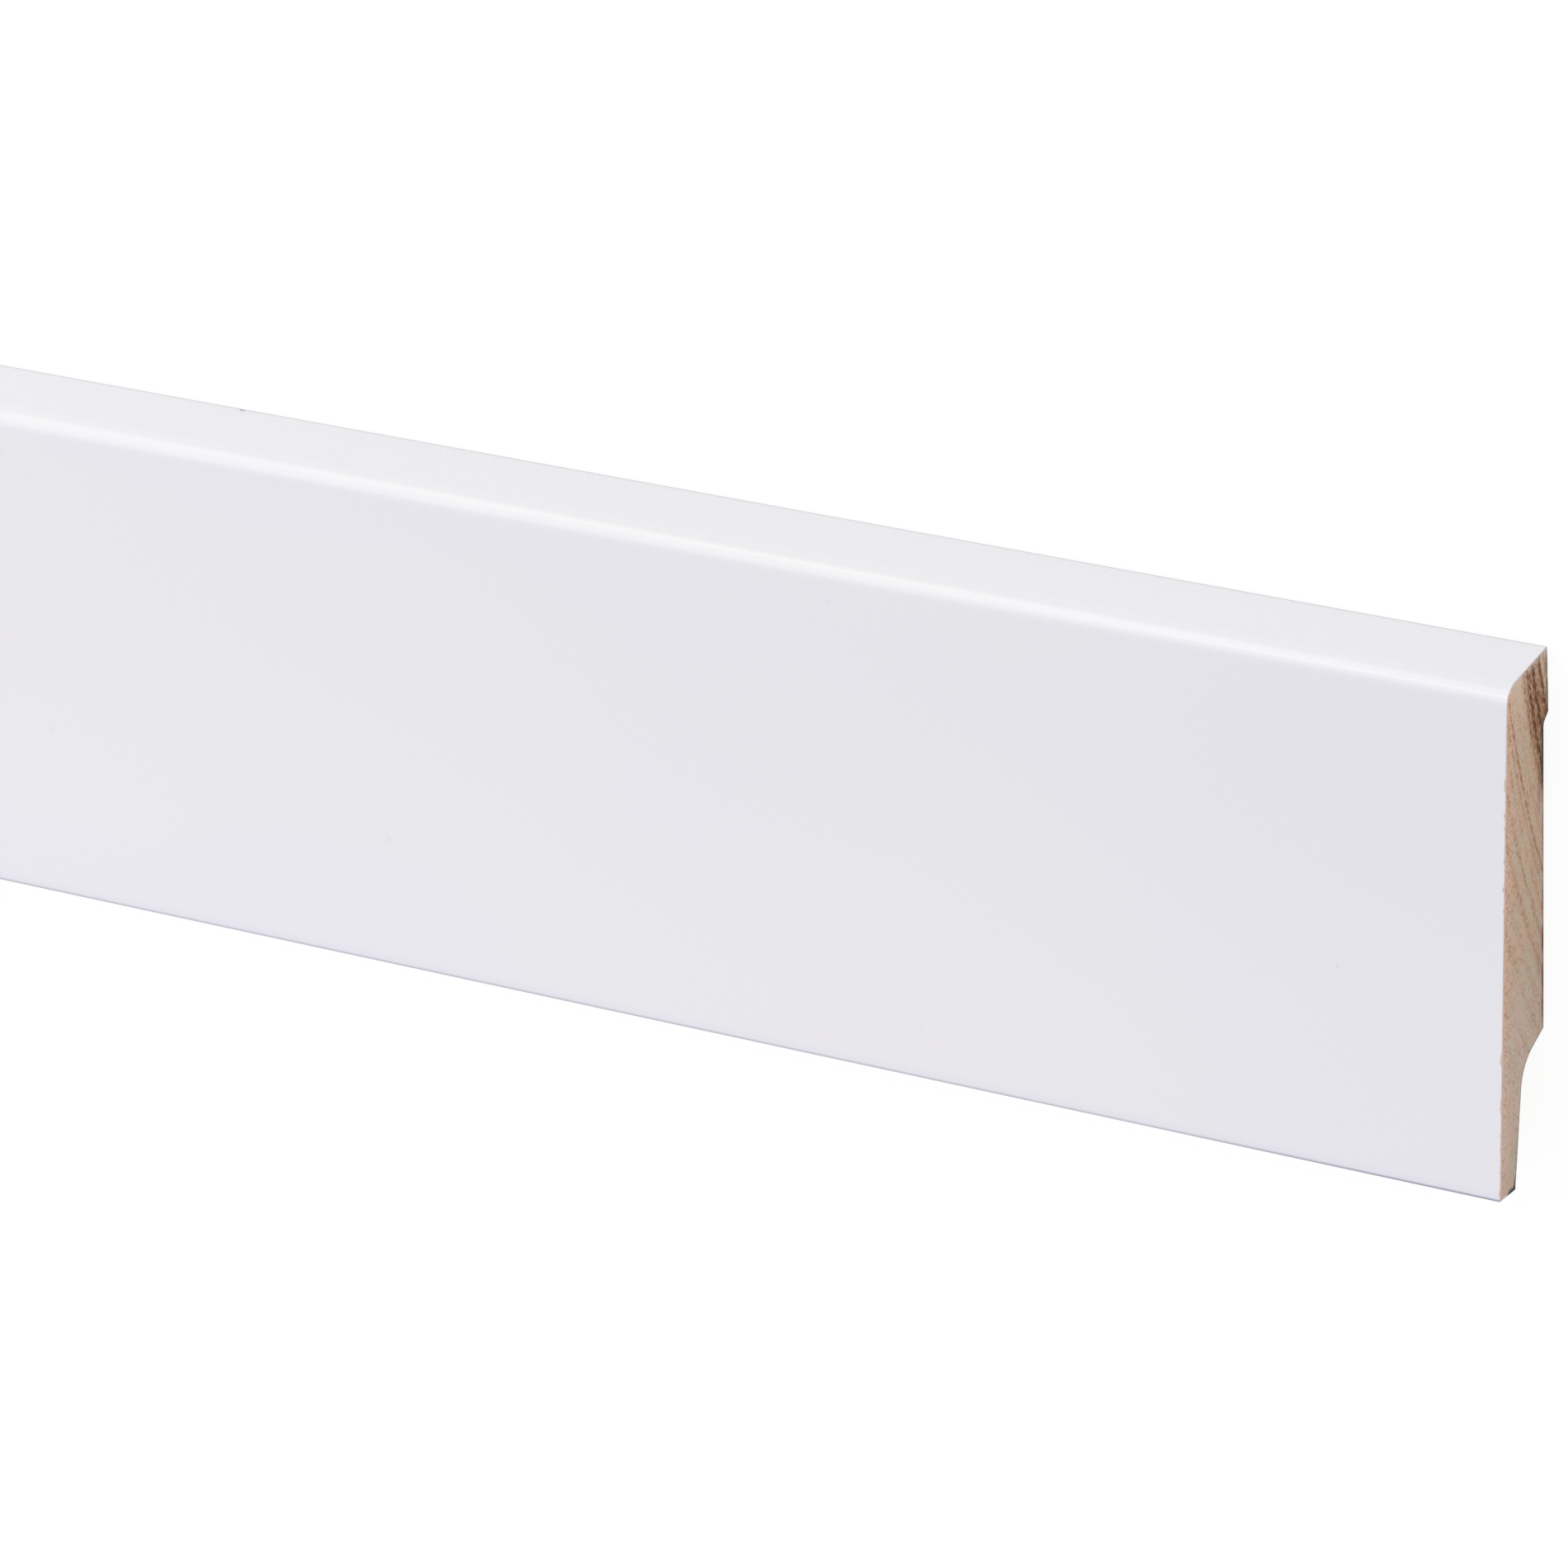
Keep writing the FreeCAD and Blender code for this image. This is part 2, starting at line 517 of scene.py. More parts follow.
# %% Where the saw chipped the lacquer
# Each chip: the height of its middle, how tall it is and how far it reaches along the board.
right_chips = [
    (75.3, 2.2, 0.32),
    (69.9, 1.0, 0.27),
    (67.6, 0.8, 0.23),
    (61.7, 0.7, 0.32),
    (60.1, 0.5, 0.14),
    (56.7, 1.0, 0.44),
    (52.8, 0.8, 0.26),
    (25.9, 2.2, 0.36),
    (17.6, 3.4, 0.20),
    (17.1, 0.6, 0.33),
    (12.2, 1.2, 0.16),
    (9.7, 1.8, 0.16),
    (5.4, 0.5, 0.13),
    (1.5, 1.6, 0.25),
]
draw = np.random.default_rng(seed=7)
left_chips = [
    (draw.uniform(1, 88), draw.uniform(0.5, 2.4), draw.uniform(0.14, 0.42))
    for _ in right_chips
]
print(len(right_chips), "chips on the right end and", len(left_chips), "on the left")

# %% How far the lacquer is broken away
# Away from the chips the saw still frays the lacquer, by this much at least and at most.
frayed_least = 0.03
frayed_most = 0.07
# A chip has its full reach near its middle and runs out a little beyond its height.
chip_slope_share = 0.4
ragged_least = 0.75
ragged_most = 1.1
chipped_depth = 1


def chipped_reach(chips):
    rise = across + height / 2
    on_the_face = up > thickness - chipped_depth
    reach = draw.uniform(frayed_least, frayed_most, len(outline))
    for chip_height, tall, along in chips:
        off = np.abs(rise - chip_height) / (tall / 2)
        bite = np.clip(1 + chip_slope_share - off, 0, 1) * along
        bite = bite * draw.uniform(ragged_least, ragged_most, len(outline))
        reach = np.maximum(reach, np.where(on_the_face, bite, 0))
    return reach


reach_right = chipped_reach(right_chips)
reach_left = chipped_reach(left_chips)
print("the lacquer is broken up to", round(reach_right.max(), 2), "mm from the right end")

# %% [markdown]
# The board's long sides are the outline repeated at stations along its length. They stand close
# together at the ends, where the lacquer is chipped, and far apart in between, where nothing changes.
# A few more stand round the small dent in the top back arris.

# %% Stations along the board
near_an_end = np.array([0, 0.08, 0.16, 0.24, 0.33, 0.43, 0.56, 0.75, 1.0, 1.6, 3, 8, 25])
middle_step = 235
dent_place = right_end - 258.4
dent_half_length = 0.9
dent_margin = 1.6
dent_stations = 13

near_the_ends = np.concatenate([left_end + near_an_end, right_end - near_an_end])
middle_count = round((length - 2 * near_an_end[-1]) / middle_step)
middle = np.linspace(left_end + near_an_end[-1], right_end - near_an_end[-1], middle_count + 1)
dent_reach = dent_half_length * dent_margin
round_the_dent = dent_place + np.linspace(-dent_reach, dent_reach, dent_stations)
stations = np.unique(np.concatenate([near_the_ends, middle, round_the_dent]))
print(len(stations), "stations, so", len(stations) * len(outline), "points on the long sides")

# %% Which way is outwards
def outward_normals():
    tangent = np.roll(outline, -1, axis=0) - np.roll(outline, 1, axis=0)
    tangent = tangent / np.linalg.norm(tangent, axis=1)[:, None]
    return np.stack([-tangent[:, 1], tangent[:, 0]], axis=1)


def turned_outward(normals):
    middle_of_board = outline.mean(axis=0)
    face_point = np.argmax(up)
    outwards = np.dot(normals[face_point], outline[face_point] - middle_of_board) > 0
    return normals if outwards else -normals


normals = turned_outward(outward_normals())
print("an outward direction is known at each of", len(normals), "points")

# %% The dent in the top back arris
dent_depth = 0.12
dent_spread = 0.5


def dent_share(station):
    from_arris = (across - height / 2) ** 2 + (up - (thickness - top_thickness)) ** 2
    round_the_arris = np.exp(-from_arris / (2 * dent_spread ** 2))
    return round_the_arris * np.clip(1 - ((station - dent_place) / dent_half_length) ** 2, 0, 1)


print("the dent is", round(dent_share(dent_place).max() * dent_depth, 2), "mm deep in its middle")

# %% Place the points of the long sides
coat_thickness = 0.1
break_softness = 0.12
chip_slope = 0.3


def long_side_points():
    rows = []
    coats = []
    for station in stations:
        near_right = station > (left_end + right_end) / 2
        from_end = right_end - station if near_right else station - left_end
        reach = reach_right if near_right else reach_left
        broken = np.clip((reach - from_end) / break_softness, 0, 1) * (coat_round > 0)
        sink = broken * (coat_thickness + chip_slope * np.maximum(reach - from_end, 0))
        places = outline - normals * (sink + dent_share(station) * dent_depth)[:, None]
        rows.append(np.column_stack([np.full(len(outline), station), places]))
        coats.append(coat_round * (1 - broken))
    return np.concatenate(rows), np.concatenate(coats)


side_points, side_coat = long_side_points()
mostly_broken = side_coat < np.tile(coat_round, len(stations)) - 0.5
print("the lacquer is broken at", int(mostly_broken.sum()), "points")

# %% [markdown]
# A sawn end could be one flat face with a bump on it, but close up a saw leaves real relief: hard
# latewood stands proud, soft earlywood tears out, and the teeth leave shallow arcs. So the end is
# filled with points on a loose grid, joined into triangles, and each point sinks by what the saw took.
# The points keep clear of the outline, so that no triangle is a sliver.

# %% Points inside the section
# The rows stand closer than the points in them, so that the triangles' sides are nearly equal.
end_step = 0.4
end_row_step = end_step * 0.866
end_jitter = 0.2
end_margin = 0.22


def inside_points():
    rows = np.arange(-height / 2, height / 2, end_row_step)
    columns = np.arange(0, thickness, end_step)
    grid_across, grid_up = np.meshgrid(rows, columns, indexing="ij")
    grid_up = grid_up + (np.arange(len(rows)) % 2)[:, None] * end_step / 2
    places = np.column_stack([grid_across.ravel(), grid_up.ravel()])
    places = places + draw.uniform(-end_jitter, end_jitter, places.shape) * end_step
    crossings = np.zeros(len(places), int)
    nearest = np.full(len(places), np.inf)
    for start, end in zip(outline, np.roll(outline, -1, axis=0)):
        run = end - start
        share = np.clip((places - start) @ run / (run @ run), 0, 1)
        nearest = np.minimum(nearest, np.linalg.norm(places - start - share[:, None] * run, axis=1))
        # A step that doesn't run across is never crossed, so any divisor will do for it.
        spans = (start[0] > places[:, 0]) != (end[0] > places[:, 0])
        rise = start[1] + (places[:, 0] - start[0]) / (run[0] or 1) * run[1]
        crossings += spans & (places[:, 1] < rise)
    inside = crossings % 2 == 1
    return places[inside & (nearest > end_margin)]


end_inside = inside_points()
print(len(end_inside), "points inside each sawn end")

# %% Join them into triangles
def end_triangles():
    places = [Vector(place) for place in np.concatenate([outline, end_inside])]
    ring = list(range(len(outline)))
    inside_only = 1
    merge_distance = 1e-5
    joined = delaunay_2d_cdt(places, [], [ring], inside_only, merge_distance)
    return [tuple(face) for face in joined[2]]


triangles = end_triangles()
print(len(triangles), "triangles fill each sawn end")

# %% What the saw took
blade_across = -70
blade_up = thickness - 112.5
tooth_pitch = 1.9
tooth_depth = 0.006
torn_depth = 0.035
fuzz_depth = 0.022


def saw_relief(along, across, up):
    arc = ((across - blade_across) ** 2 + (up - blade_up) ** 2) ** 0.5
    tooth_marks = tooth_depth * (1 + np.sin(arc * 2 * math.pi / tooth_pitch))
    torn = torn_depth * (1 - np.clip(latewood(from_pith(along, across, up)), 0, 1))
    return tooth_marks + torn + fuzz_depth * draw.random(len(across))


def sawn_end(along, inward):
    across_here = end_inside[:, 0]
    up_here = end_inside[:, 1]
    depth = saw_relief(along, across_here, up_here)
    return np.column_stack([along + inward * depth, across_here, up_here])


left_inside = sawn_end(left_end, 1)
right_inside = sawn_end(right_end, -1)
print("the saw's relief is up to", round(float((right_end - right_inside[:, 0]).max()), 3), "mm deep")

# %% [markdown]
# All points and faces now go into one closed mesh. Its long sides are quads between neighbouring
# stations, its ends are the triangles. Each corner also stores how much lacquer covers it, and how
# much shade is painted on it: painted shade darkens the foot arris, the bottom edge, the top back
# arris and the raw rim of a sawn end, and the dent is painted darker too.

# %% Build the mesh
def board_faces():
    around = len(outline)
    quads = []
    for station in range(len(stations) - 1):
        for point in range(around):
            beside = (point + 1) % around
            here = station * around
            there = here + around
            quads.append((here + point, here + beside, there + beside, there + point))
    first_inside = len(stations) * around
    left_map = np.concatenate([np.arange(around), first_inside + np.arange(len(end_inside))])
    right_map = np.concatenate([
        (len(stations) - 1) * around + np.arange(around),
        first_inside + len(end_inside) + np.arange(len(end_inside)),
    ])
    left_faces = [tuple(int(left_map[corner]) for corner in face) for face in triangles]
    right_faces = [tuple(int(right_map[corner]) for corner in reversed(face)) for face in triangles]
    return quads, left_faces, right_faces


quads, left_faces, right_faces = board_faces()
points = np.concatenate([side_points, left_inside, right_inside]) * MM
mesh = bpy.data.meshes.new("skirting_board_lacquered")
mesh.from_pydata(points.tolist(), [], quads + left_faces + right_faces)
print("the mesh has", len(mesh.vertices), "points and", len(mesh.polygons), "faces")

# %% How much shade is painted on each arris
foot_shade_height = 0.2
foot_shade_fade = 0.3
under_shade_reach = 0.8
top_back_shade = 0.5
raw_rim_shade = 0.35
dent_darkness_strength = 1.5


# Painted shade: a dark line just above the foot and along the bottom edge, a grey one on the top back
# arris.
def shade_round_the_outline():
    shade_and_dent = np.zeros(len(outline))
    rise = across + height / 2
    shaded_foot = np.clip(1 - (rise - foot_shade_height) / foot_shade_fade, 0, 1)
    in_front = np.isin(labels, ["foot_front", "face"])
    shade_and_dent[in_front] = shaded_foot[in_front]
    below = labels == "bottom_edge"
    shade_and_dent[below] = np.clip(1 - (thickness - up[below]) / under_shade_reach, 0, 1)
    shade_and_dent[labels == "top_back"] = top_back_shade
    return shade_and_dent


arris_shade = shade_round_the_outline()
# Painted shade: a dark line round the raw rim of each sawn end.
rim_shade = np.where(coat_round < 0.5, raw_rim_shade, np.minimum(arris_shade, raw_rim_shade))
# The dent is painted darker.
dent_darkness = np.array([dent_share(station) for station in stations]) * dent_darkness_strength
shade_and_dent = np.maximum(np.tile(arris_shade, (len(stations), 1)), np.clip(dent_darkness, 0, 1))
shade_and_dent[[0, -1]] = rim_shade
print(int((shade_and_dent > 0).sum()), "points lie on a worn arris")

# %% Store the lacquer and the painted shade on the mesh
sharp_angle = math.radians(40)


def store(name, values):
    layer = mesh.attributes.new(name, "FLOAT", "POINT")
    layer.data.foreach_set("value", values.astype(np.float32))


bare_inside = np.zeros(2 * len(end_inside))
store("lacquer", np.concatenate([side_coat, bare_inside]))
store("shade_and_dent", np.concatenate([shade_and_dent.ravel(), bare_inside]))

board = bpy.data.objects.new("skirting_board_lacquered", mesh)
bpy.context.scene.collection.objects.link(board)
mesh.polygons.foreach_set("use_smooth", [True] * len(mesh.polygons))
mesh.set_sharp_from_angle(angle=sharp_angle)
print("the finish can read its lacquer and wear at", len(mesh.vertices), "points")

# %% [markdown]
# Wood first. One formula gives earlywood and latewood, but what makes wood look like wood is how that
# order is broken up: ring lines that wander, bundles of fibres that show as dots on the sawn end and as
# streaks along the back, and blotches a millimetre or two wide. All of them are noise in the tree's own
# directions, long along the grain and a little longer along a ring than across it.

# %% Noise in the tree's own directions
def coordinates(bench):
    place = bench.node("ShaderNodeTexCoord", {}, {}, "Object")
    parts = [bench.node("ShaderNodeSeparateXYZ", {}, {"Vector": place}, axis) for axis in "XYZ"]
    return place, *[part / MM for part in parts]


def noise(along, across, up, size, along_grain=1, along_ring=1, detail=2):
    place = along.bench.node("ShaderNodeCombineXYZ", {}, {
        "X": along / along_grain,
        "Y": across / along_ring,
        "Z": up,
    })
    inputs = {"Vector": place, "Scale": 1 / size, "Detail": detail, "Roughness": 0.5}
    return along.bench.node("ShaderNodeTexNoise", {}, inputs)


print("noise can be stretched along the grain and along the rings")

# %% [markdown]
# A sawn end drinks light and looks greyer and darker than the planed back of the same board. Just under
# the face it is warmer, where the primer soaked in. Where the film of lacquer is cut through, it shows
# as a thin lilac grey line between the white and the wood. Painted shade darkens the back corner of the
# foot and the leg's back outline, and stains crept in from the back. No pattern would put such spots in
# the right places, so each is one soft oval with a place and a size of its own.

# %% Where the sawn end is stained and where shade is painted on it
# Each smudge: the height and the distance from the wall of its middle, how far it reaches up and
# across from there, and how dark it is.
# Painted shade: a dark line at the back corner of the foot and along the leg's back outline.
leg_outline_shade = [
    (0.6, 9.9, 2.8, 1.2, 0.8),
    (-0.3, 11.4, 1.6, 2.6, 1.2),
    (6.5, 9.3, 7.0, 1.2, 0.2),
    (10.0, 11.0, 6.0, 1.6, 0.08),
]
brown_stains = [
    (92.2, 0.7, 3.2, 1.2, 0.6),
    (86.8, 0.3, 3.2, 1.3, 0.5),
    (80.0, 1.9, 4.5, 1.5, 0.55),
    (75.0, 1.6, 7.0, 1.2, 0.95),
    (71.0, 2.9, 6.5, 1.3, 0.32),
    (63.0, 1.2, 8.0, 0.7, 0.38),
]
red_stains = [
    (49.5, 0.75, 4.5, 0.9, 0.62),
    (42.5, 0.5, 4.8, 1.1, 1.0),
    (38.0, 2.2, 3.5, 1.2, 0.25),
    (36.0, 0.35, 4.5, 1.0, 0.95),
    (30.5, 0.15, 5.0, 1.1, 0.7),
]
full_strength_share = 0.25


def stains_and_shade(smudges, along, across, up):
    total = 0
    for rise, from_wall, tall, wide, darkness in smudges:
        across_share = (across + (height / 2 - rise)) / tall
        up_share = (up - from_wall) / wide
        away = (across_share * across_share + up_share * up_share) ** 0.5
        total = ramp(away, 1, full_strength_share) * darkness + total
    at_the_right_end = ramp(along, right_end - 1, right_end - 0.5)
    return total * at_the_right_end


print(len(leg_outline_shade), "spots of grime and", len(brown_stains + red_stains), "stains lie on the right end")

# %% The grain and what breaks up its order
# Near the top of the end two of the dark lines run together, round this radius.
pinched_radius = 192.6
pinched_half_width = 0.6
pinched_darkness = 0.3


def grain(along, across, up):
    radius = from_pith(along, across, up)
    wander = noise(along, across, radius, 1.6, along_grain=60, along_ring=5) - 0.5
    fibres = noise(along, across, radius, 0.34, along_grain=40, along_ring=3) - 0.5
    pores = noise(along, across, up, 0.42, along_grain=40, detail=1) - 0.5
    blotches = noise(along, across, radius, 1.5, along_grain=30, along_ring=2.4) - 0.5

    from_top = height / 2 - across
    near_the_top = ramp(from_top, 11, 4)
    soaked = ramp(thickness - up - (fibres + blotches) * 1.5, 3.9, 1.7)
    off = (radius - pinched_radius) / pinched_half_width
    pinched = near_the_top * ramp(from_top, 2.5, 5) * pinched_darkness / (1 + off * off) ** 2
    dark = latewood(radius + wander * 0.5) + pinched
    dark = dark * (1 + fibres * 2.4) + fibres * 0.45 + blotches * 0.25
    dark = dark + pores * (soaked * 0.8 + 0.6) - near_the_top * 0.14 + 0.03
    return radius, fibres, blotches, soaked, dark


print("the grain gives its lines, its fibres, its blotches and where the primer soaked in")

# %% The colours of planed wood and of sawn wood
film_line = 0.42
film_line_height = 2.2
soaked_rim = 0.7
soaked_rim_depth = 1.1


def planed_colour(dark):
    return mixed(dark, swatch(228, 203, 168), swatch(160, 112, 68))


def sawn_colour(along, across, up, radius, fibres, blotches, soaked, dark):
    rise = across + height / 2
    from_top = height / 2 - across
    clouds = noise(along, across, radius, 2.6, along_grain=20, along_ring=2.2)
    flecks = noise(along, across, radius, 0.9, along_grain=30, along_ring=2.6, detail=1)
    beige = mixed(ramp(clouds, 0.34, 0.66), swatch(203, 187, 166), swatch(214, 182, 162))
    # Each tint: where it lies with what strength, and its colour.
    beige = tinted(beige, [
        (ramp(blotches, -0.05, 0.15) * 0.35, swatch(208, 182, 146)),
        (ramp(rise, 47.5, 67.5) * 0.3, swatch(218, 189, 166)),
        (ramp(from_top, 11, 4) * 0.8, swatch(219, 195, 173)),
        (soaked * 0.85, swatch(227, 188, 163)),
        (ramp(rise, 45.5, 25.5) * ramp(rise, 1, 13) * 0.35, swatch(208, 193, 188)),
        # Painted shade: the foot of the sawn end is greyed.
        (ramp(rise, 9, 3) * 0.14, swatch(150, 145, 150)),
        (ramp(flecks, 0.62, 0.74) * 0.4, swatch(172, 130, 98)),
    ])
    amber = mixed(dark * 2, beige, swatch(172, 129, 97))
    brown = mixed(dark * 2 - 1, amber, swatch(97, 53, 24))

    from_top_edge = from_top - (up - (thickness - top_thickness)) * steepness(top_slope)
    under_the_top = ramp(from_top_edge, film_line_height, 0.1) * film_line
    under_the_face = ramp(thickness - up, soaked_rim_depth, 0.25) * soaked_rim
    under_the_film = under_the_face.maths("MAXIMUM", under_the_top)
    return mixed(under_the_film, brown, swatch(220, 204, 200))


print("planed wood and sawn wood each have a pale and a dark colour")

# %% [markdown]
# The lacquer is a soft semi-gloss white, a touch cool. Real lacquer is never one flat colour: it
# drifts by a hair from cool to warm over a hand's width, and a few grains of dust sit in it. Light and
# shade are painted into it as well: the face lighter towards the foot, a warm highlight on the top
# rounding, the top edge lighter than the face, painted shade along the foot and the top back arris,
# and a darker spot at the dent. Specks of dust that show in the photograph are placed one by one;
# beyond the picture others are scattered by a cell pattern, about as many.

# %% Dust in the lacquer
# Each speck: its distance from the right end, its height, its radius and how dark it is.
specks = [
    (220.7, 24.2, 1.0, 0.10),
    (293.5, 32.1, 0.85, 0.09),
    (111.6, 9.4, 0.7, 0.08),
    (301.4, 83.9, 0.9, 0.05),
    (266.7, 87.6, 0.7, 0.05),
    (129.1, 85.3, 0.85, 0.065),
    (96.1, 84.3, 0.6, 0.04),
    (298.8, 57.0, 0.7, 0.04),
    (265.2, 61.5, 0.45, 0.05),
    (30.9, 37.1, 0.5, 0.16),
    (17.6, 44.1, 0.38, 0.10),
    (68.4, 50.5, 0.75, 0.04),
    (73.9, 33.1, 0.7, 0.04),
]
in_the_picture = 320
scattered_step = 62
scattered_radius = 0.8
scattered_darkness = 0.08


def dust(place, along, across):
    bench = place.bench
    total = 0
    for beyond, rise, radius, darkness in specks:
        centre = ((right_end - beyond) * MM, (rise - height / 2) * MM, thickness * MM)
        places = {0: place, 1: centre}
        away = bench.node("ShaderNodeVectorMath", {"operation": "DISTANCE"}, places, "Value")
        total = ramp(away / MM, radius, 0) * darkness + total
    flat = bench.node("ShaderNodeCombineXYZ", {}, {"X": along, "Y": across})
    inputs = {"Vector": flat, "Scale": 1 / scattered_step}
    away = bench.node("ShaderNodeTexVoronoi", {"voronoi_dimensions": "2D"}, inputs, "Distance")
    scattered = ramp(away * scattered_step, scattered_radius, 0) * scattered_darkness
    return total + scattered * ramp(right_end - along, in_the_picture, in_the_picture + 10)


print(len(specks), "specks are placed, and one in every", scattered_step, "mm is scattered")

# %% The lacquer's colour
def lacquer_colour(along, across, up, shade_and_dent, specked):
    rise = across + height / 2
    from_top = height / 2 - across
    beyond = right_end - along
    cool = ramp(noise(along, across, up, 70, along_grain=2, detail=1), 0.35, 0.65)
    # Painted light: the face is lighter towards the foot.
    high_up = mixed(cool, swatch(231, 229, 235), swatch(229, 228, 236))
    low_down = mixed(cool, swatch(235, 233, 239), swatch(233, 232, 240))
    face = mixed(ramp(from_top, height * 0.08, height), high_up, low_down)
    # Painted highlight on the top rounding: warmer, and lighter near the right end.
    rounding = mixed(ramp(beyond, 20, 150), swatch(237, 236, 239), swatch(230, 229, 228))
    # Painted light: the top edge is lighter than the face, most near the right end.
    top_edge = mixed(ramp(beyond, 0, 280), swatch(237, 236, 241), swatch(233, 232, 237))
    # Painted shade along the foot arris, darkest near the right end, and grey on the top back arris.
    foot_shade_tone = mixed(ramp(beyond, 0, 80), swatch(138, 138, 164), swatch(188, 187, 202))
    arris_shade_tone = mixed(ramp(rise, 47.5, 57.5), foot_shade_tone, swatch(190, 191, 192))
    # The dent is painted darker.
    dent_darkening = ramp(shade_and_dent, 0.52, 0.8) * ramp(rise, 67.5, 77.5)
    # Each tint: where it lies with what strength, and its colour.
    return tinted(face, [
        (ramp(from_top, 5, 3.8) * ramp(from_top, 1.8, 3) * 0.5, rounding),
        (ramp(from_top, 3.4, 1.9), top_edge),
        # Painted shade: the face darkens to lavender just above the foot.
        (ramp(rise, 2.2, 0.6) * 0.16, swatch(212, 212, 240)),
        (shade_and_dent, arris_shade_tone),
        (dent_darkening, swatch(96, 96, 102)),
        (specked, swatch(150, 146, 150)),
    ])


print("the lacquer drifts between two whites")

# %% [markdown]
# Lacquer and wood are two shaders, one over the other, mixed by how much lacquer lies on the spot. That
# keeps each recipe short, and the renderer skips the wood's many nodes wherever the lacquer is whole.

# %% The lacquer's shader
gloss = 0.27
gloss_spread = 0.04
peel_height = 0.0018
speck_height = 0.02


def lacquer_shader(place, along, across, up, shade_and_dent):
    bench = along.bench
    specked = dust(place, along, across)
    peel = noise(along, across, up, 1.3, along_grain=1.6, detail=1)
    height_above = peel * peel_height + specked * speck_height
    bump = bench.node("ShaderNodeBump", {}, {"Height": height_above, "Distance": MM}, "Normal")
    return bench.node("ShaderNodeBsdfPrincipled", {}, {
        "Base Color": lacquer_colour(along, across, up, shade_and_dent, specked),
        "Roughness": gloss + (peel - 0.5) * gloss_spread,
        "Normal": bump,
    })


print("the lacquer's roughness is", gloss)

# %% The wood's shader
wood_roughness = 0.8
fibre_roughness = 0.2
latewood_height = 0.012
planed_fibre_height = 0.012
sawn_fibre_height = 0.025


def wood_shader(along, across, up, coat, shade_and_dent, end_grain):
    bench = along.bench
    near_the_cut = ramp(right_end - along.maths("ABSOLUTE"), 1.0, 0.7)
    sawn = end_grain.maths("MAXIMUM", near_the_cut)
    radius, fibres, blotches, soaked, dark = grain(along, across, up)
    sawn_wood = sawn_colour(along, across, up, radius, fibres, blotches, soaked, dark)
    # Each tint: the film's edge, painted shade on the raw rim and on the leg's outline, then the two
    # kinds of stain.
    colour = tinted(mixed(sawn, planed_colour(dark), sawn_wood), [
        (ramp(coat, 0, 0.3) * end_grain, swatch(222, 213, 221)),
        (shade_and_dent, swatch(62, 48, 46)),
        (stains_and_shade(leg_outline_shade, along, across, up) * end_grain, swatch(62, 58, 64)),
        (stains_and_shade(brown_stains, along, across, up) * end_grain, swatch(80, 46, 36)),
        (stains_and_shade(red_stains, along, across, up) * end_grain, swatch(120, 62, 48)),
    ])
    height_above = dark * latewood_height
    height_above = height_above + fibres * (sawn * sawn_fibre_height + planed_fibre_height)
    bump = bench.node("ShaderNodeBump", {}, {"Height": height_above, "Distance": MM}, "Normal")
    return bench.node("ShaderNodeBsdfPrincipled", {}, {
        "Base Color": colour,
        "Roughness": wood_roughness + fibres * fibre_roughness,
        "Normal": bump,
    })


print("the wood is rougher than the lacquer by", round(wood_roughness - gloss, 2))

# %% Lacquer over wood
bare_below = 0.42
whole_above = 0.62
mist_strength = 0.7


def finish_board():
    finish = bpy.data.materials.new("lacquered_softwood")
    finish.use_nodes = True
    bench = Bench(finish.node_tree)
    place, along, across, up = coordinates(bench)
    normal = bench.node("ShaderNodeNewGeometry", {}, {}, "Normal")
    facing = bench.node("ShaderNodeSeparateXYZ", {}, {"Vector": normal}, "X").maths("ABSOLUTE")
    end_grain = ramp(facing, 0.5, 0.7)
    coat = bench.node("ShaderNodeAttribute", {"attribute_name": "lacquer"}, {}, "Fac")
    shade_and_dent = bench.node("ShaderNodeAttribute", {"attribute_name": "shade_and_dent"}, {}, "Fac")
    mist = noise(along, across, up, 0.5, along_grain=1.5) - 0.5
    covered = ramp(coat + mist * mist_strength, bare_below, whole_above) * (1 - end_grain)
    surface = bench.node("ShaderNodeMixShader", {}, {
        0: covered,
        1: wood_shader(along, across, up, coat, shade_and_dent, end_grain),
        2: lacquer_shader(place, along, across, up, shade_and_dent),
    })
    bench.node("ShaderNodeOutputMaterial", {}, {"Surface": surface})
    return finish


mesh.materials.append(finish_board())
print("the finish has", len(mesh.materials[0].node_tree.nodes), "nodes")

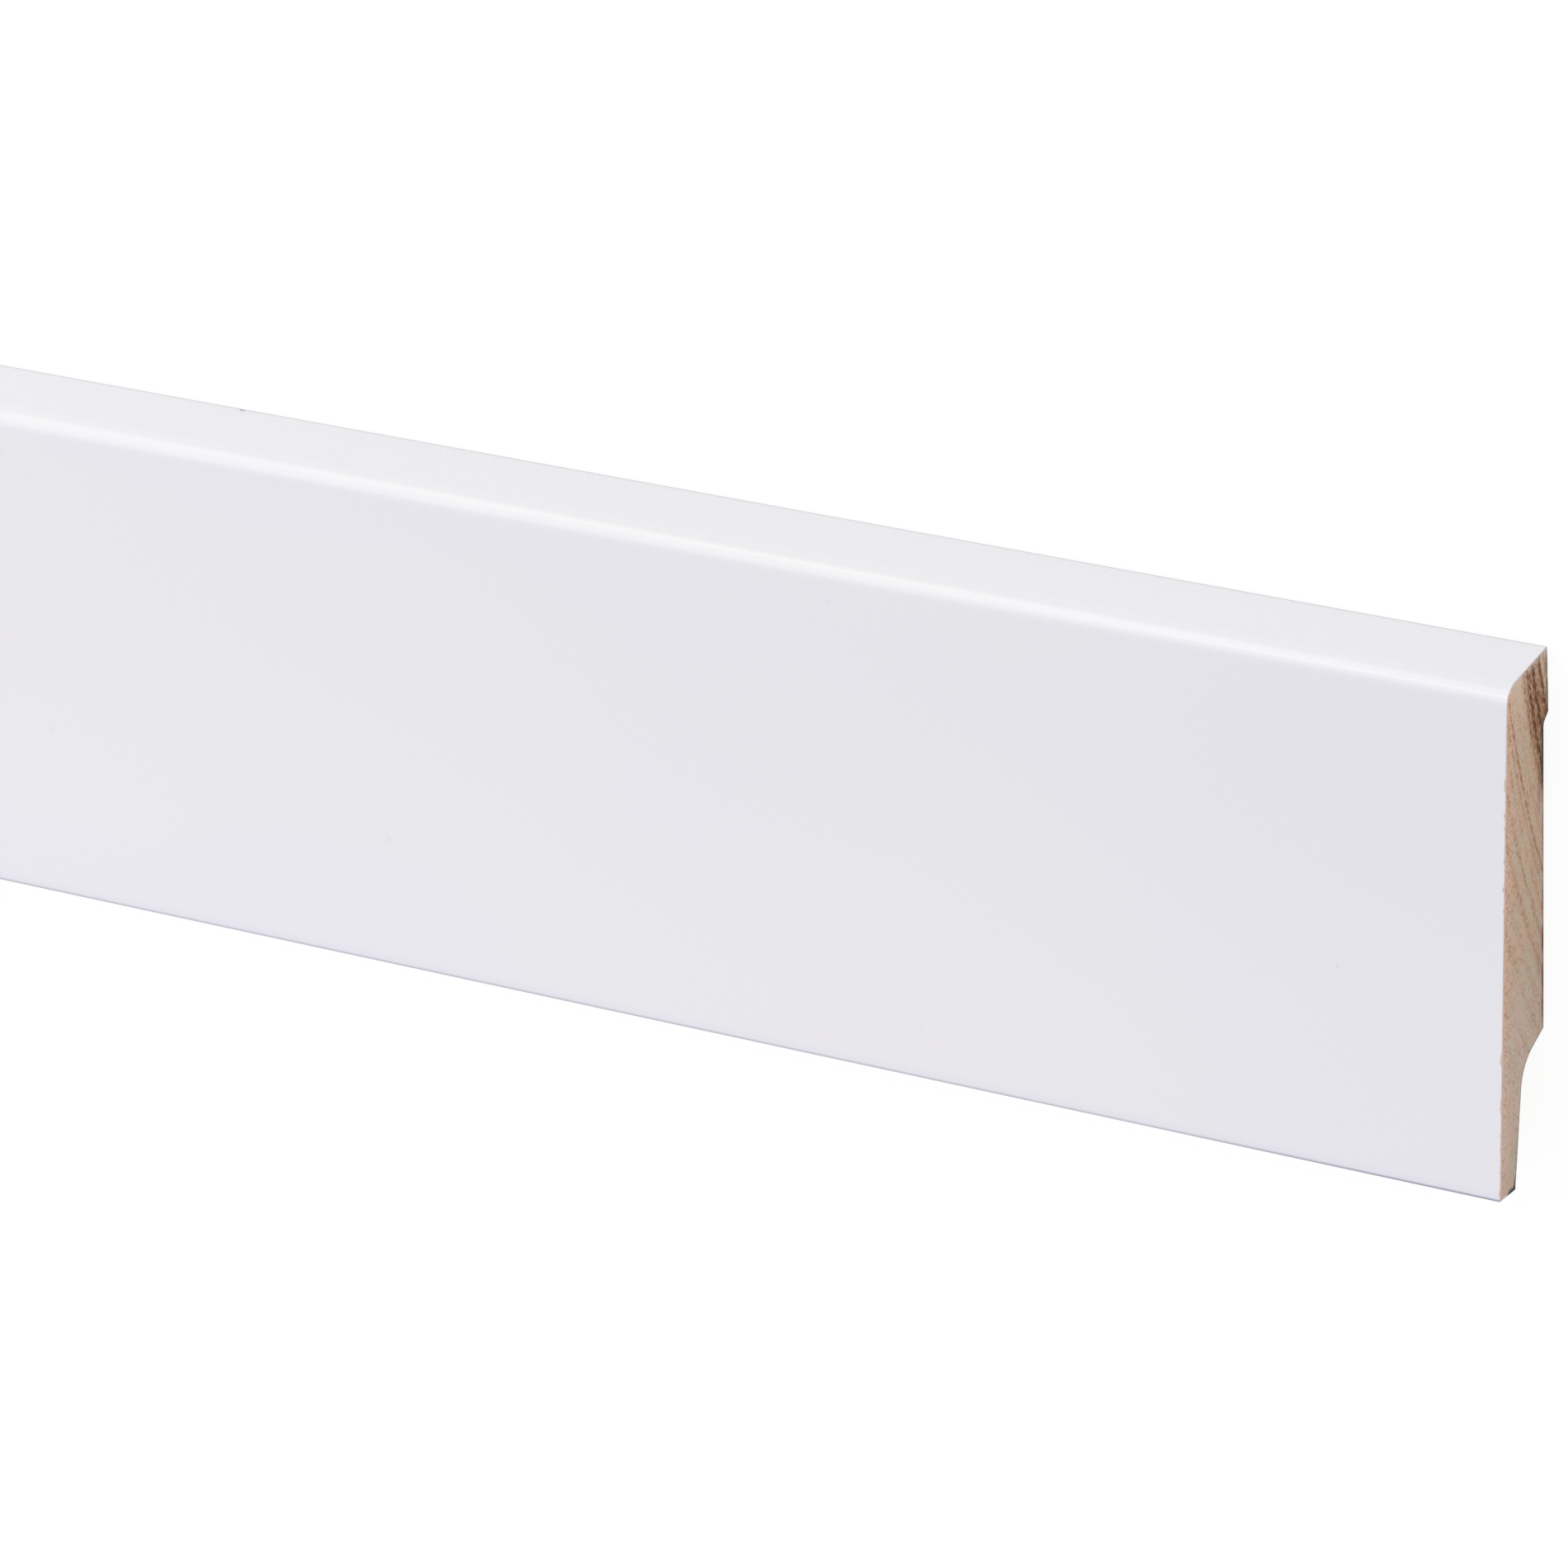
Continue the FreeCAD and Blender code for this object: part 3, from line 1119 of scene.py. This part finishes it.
# %% [markdown]
# When the board leaves Blender, its finish is painted into one square picture, and a map says which
# part of the picture each face wears. A board 150 times as long as it is thick would fill such a map
# badly by itself. So the map is laid out here as a maker would cut veneer: the long sides as one wide
# strip, with the last few millimetres of each end drawn out, and the two sawn ends above it at a
# much larger size.

# %% Places on the map
strip_top = 0.66
strip_margin = 0.002
end_band = 0.155
end_margin_share = 0.01
band_gap = 0.01
stretched_end = 3
stretched_share = 0.03


def strip_place(along, round_distance):
    nodes = [left_end, left_end + stretched_end, right_end - stretched_end, right_end]
    shares = [strip_margin, stretched_share, 1 - stretched_share, 1 - strip_margin]
    return np.column_stack([
        np.interp(along, nodes, shares),
        round_distance / distance_round[-1] * strip_top,
    ])


def end_place(places, band):
    low = strip_top + band_gap + band * (end_band + band_gap)
    rise_share = (places[:, 0] + height / 2) / height
    return np.column_stack([
        end_margin_share + (1 - 2 * end_margin_share) * rise_share,
        low + end_band * places[:, 1] / thickness,
    ])


print("the long sides take", strip_top, "of the map, and each sawn end", end_band)

# %% Lay out the map
def lay_out_map():
    around = len(outline)
    station = np.repeat(np.arange(len(stations) - 1), around)
    point = np.tile(np.arange(around), len(stations) - 1)
    here = stations[station]
    there = stations[station + 1]
    corners_along = np.stack([here, here, there, there], axis=1)
    corners_round = np.stack([point, point + 1, point + 1, point], axis=1)
    strip = strip_place(corners_along.ravel(), distance_round[corners_round.ravel()])
    flat = np.concatenate([outline, end_inside])
    order = np.array(triangles)
    left_places = end_place(flat[order.ravel()], 0)
    right_places = end_place(flat[order[:, ::-1].ravel()], 1)
    places = np.concatenate([strip, left_places, right_places])
    layer = mesh.uv_layers.new(name="OFBake")
    layer.uv.foreach_set("vector", places.astype(np.float32).ravel())
    return len(layer.uv)


print(lay_out_map(), "corners have a place on the map")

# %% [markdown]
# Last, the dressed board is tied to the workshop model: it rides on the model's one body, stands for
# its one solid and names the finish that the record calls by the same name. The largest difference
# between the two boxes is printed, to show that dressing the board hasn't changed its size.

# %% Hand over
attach(board, "root")
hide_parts("skirting_board")

seen_low, seen_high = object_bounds()
changes = [abs(seen - cad) for seen, cad in zip([*seen_low, *seen_high], [*cad_low, *cad_high])]
print("the dressed board differs by at most", round(max(changes) / MM, 3), "mm")
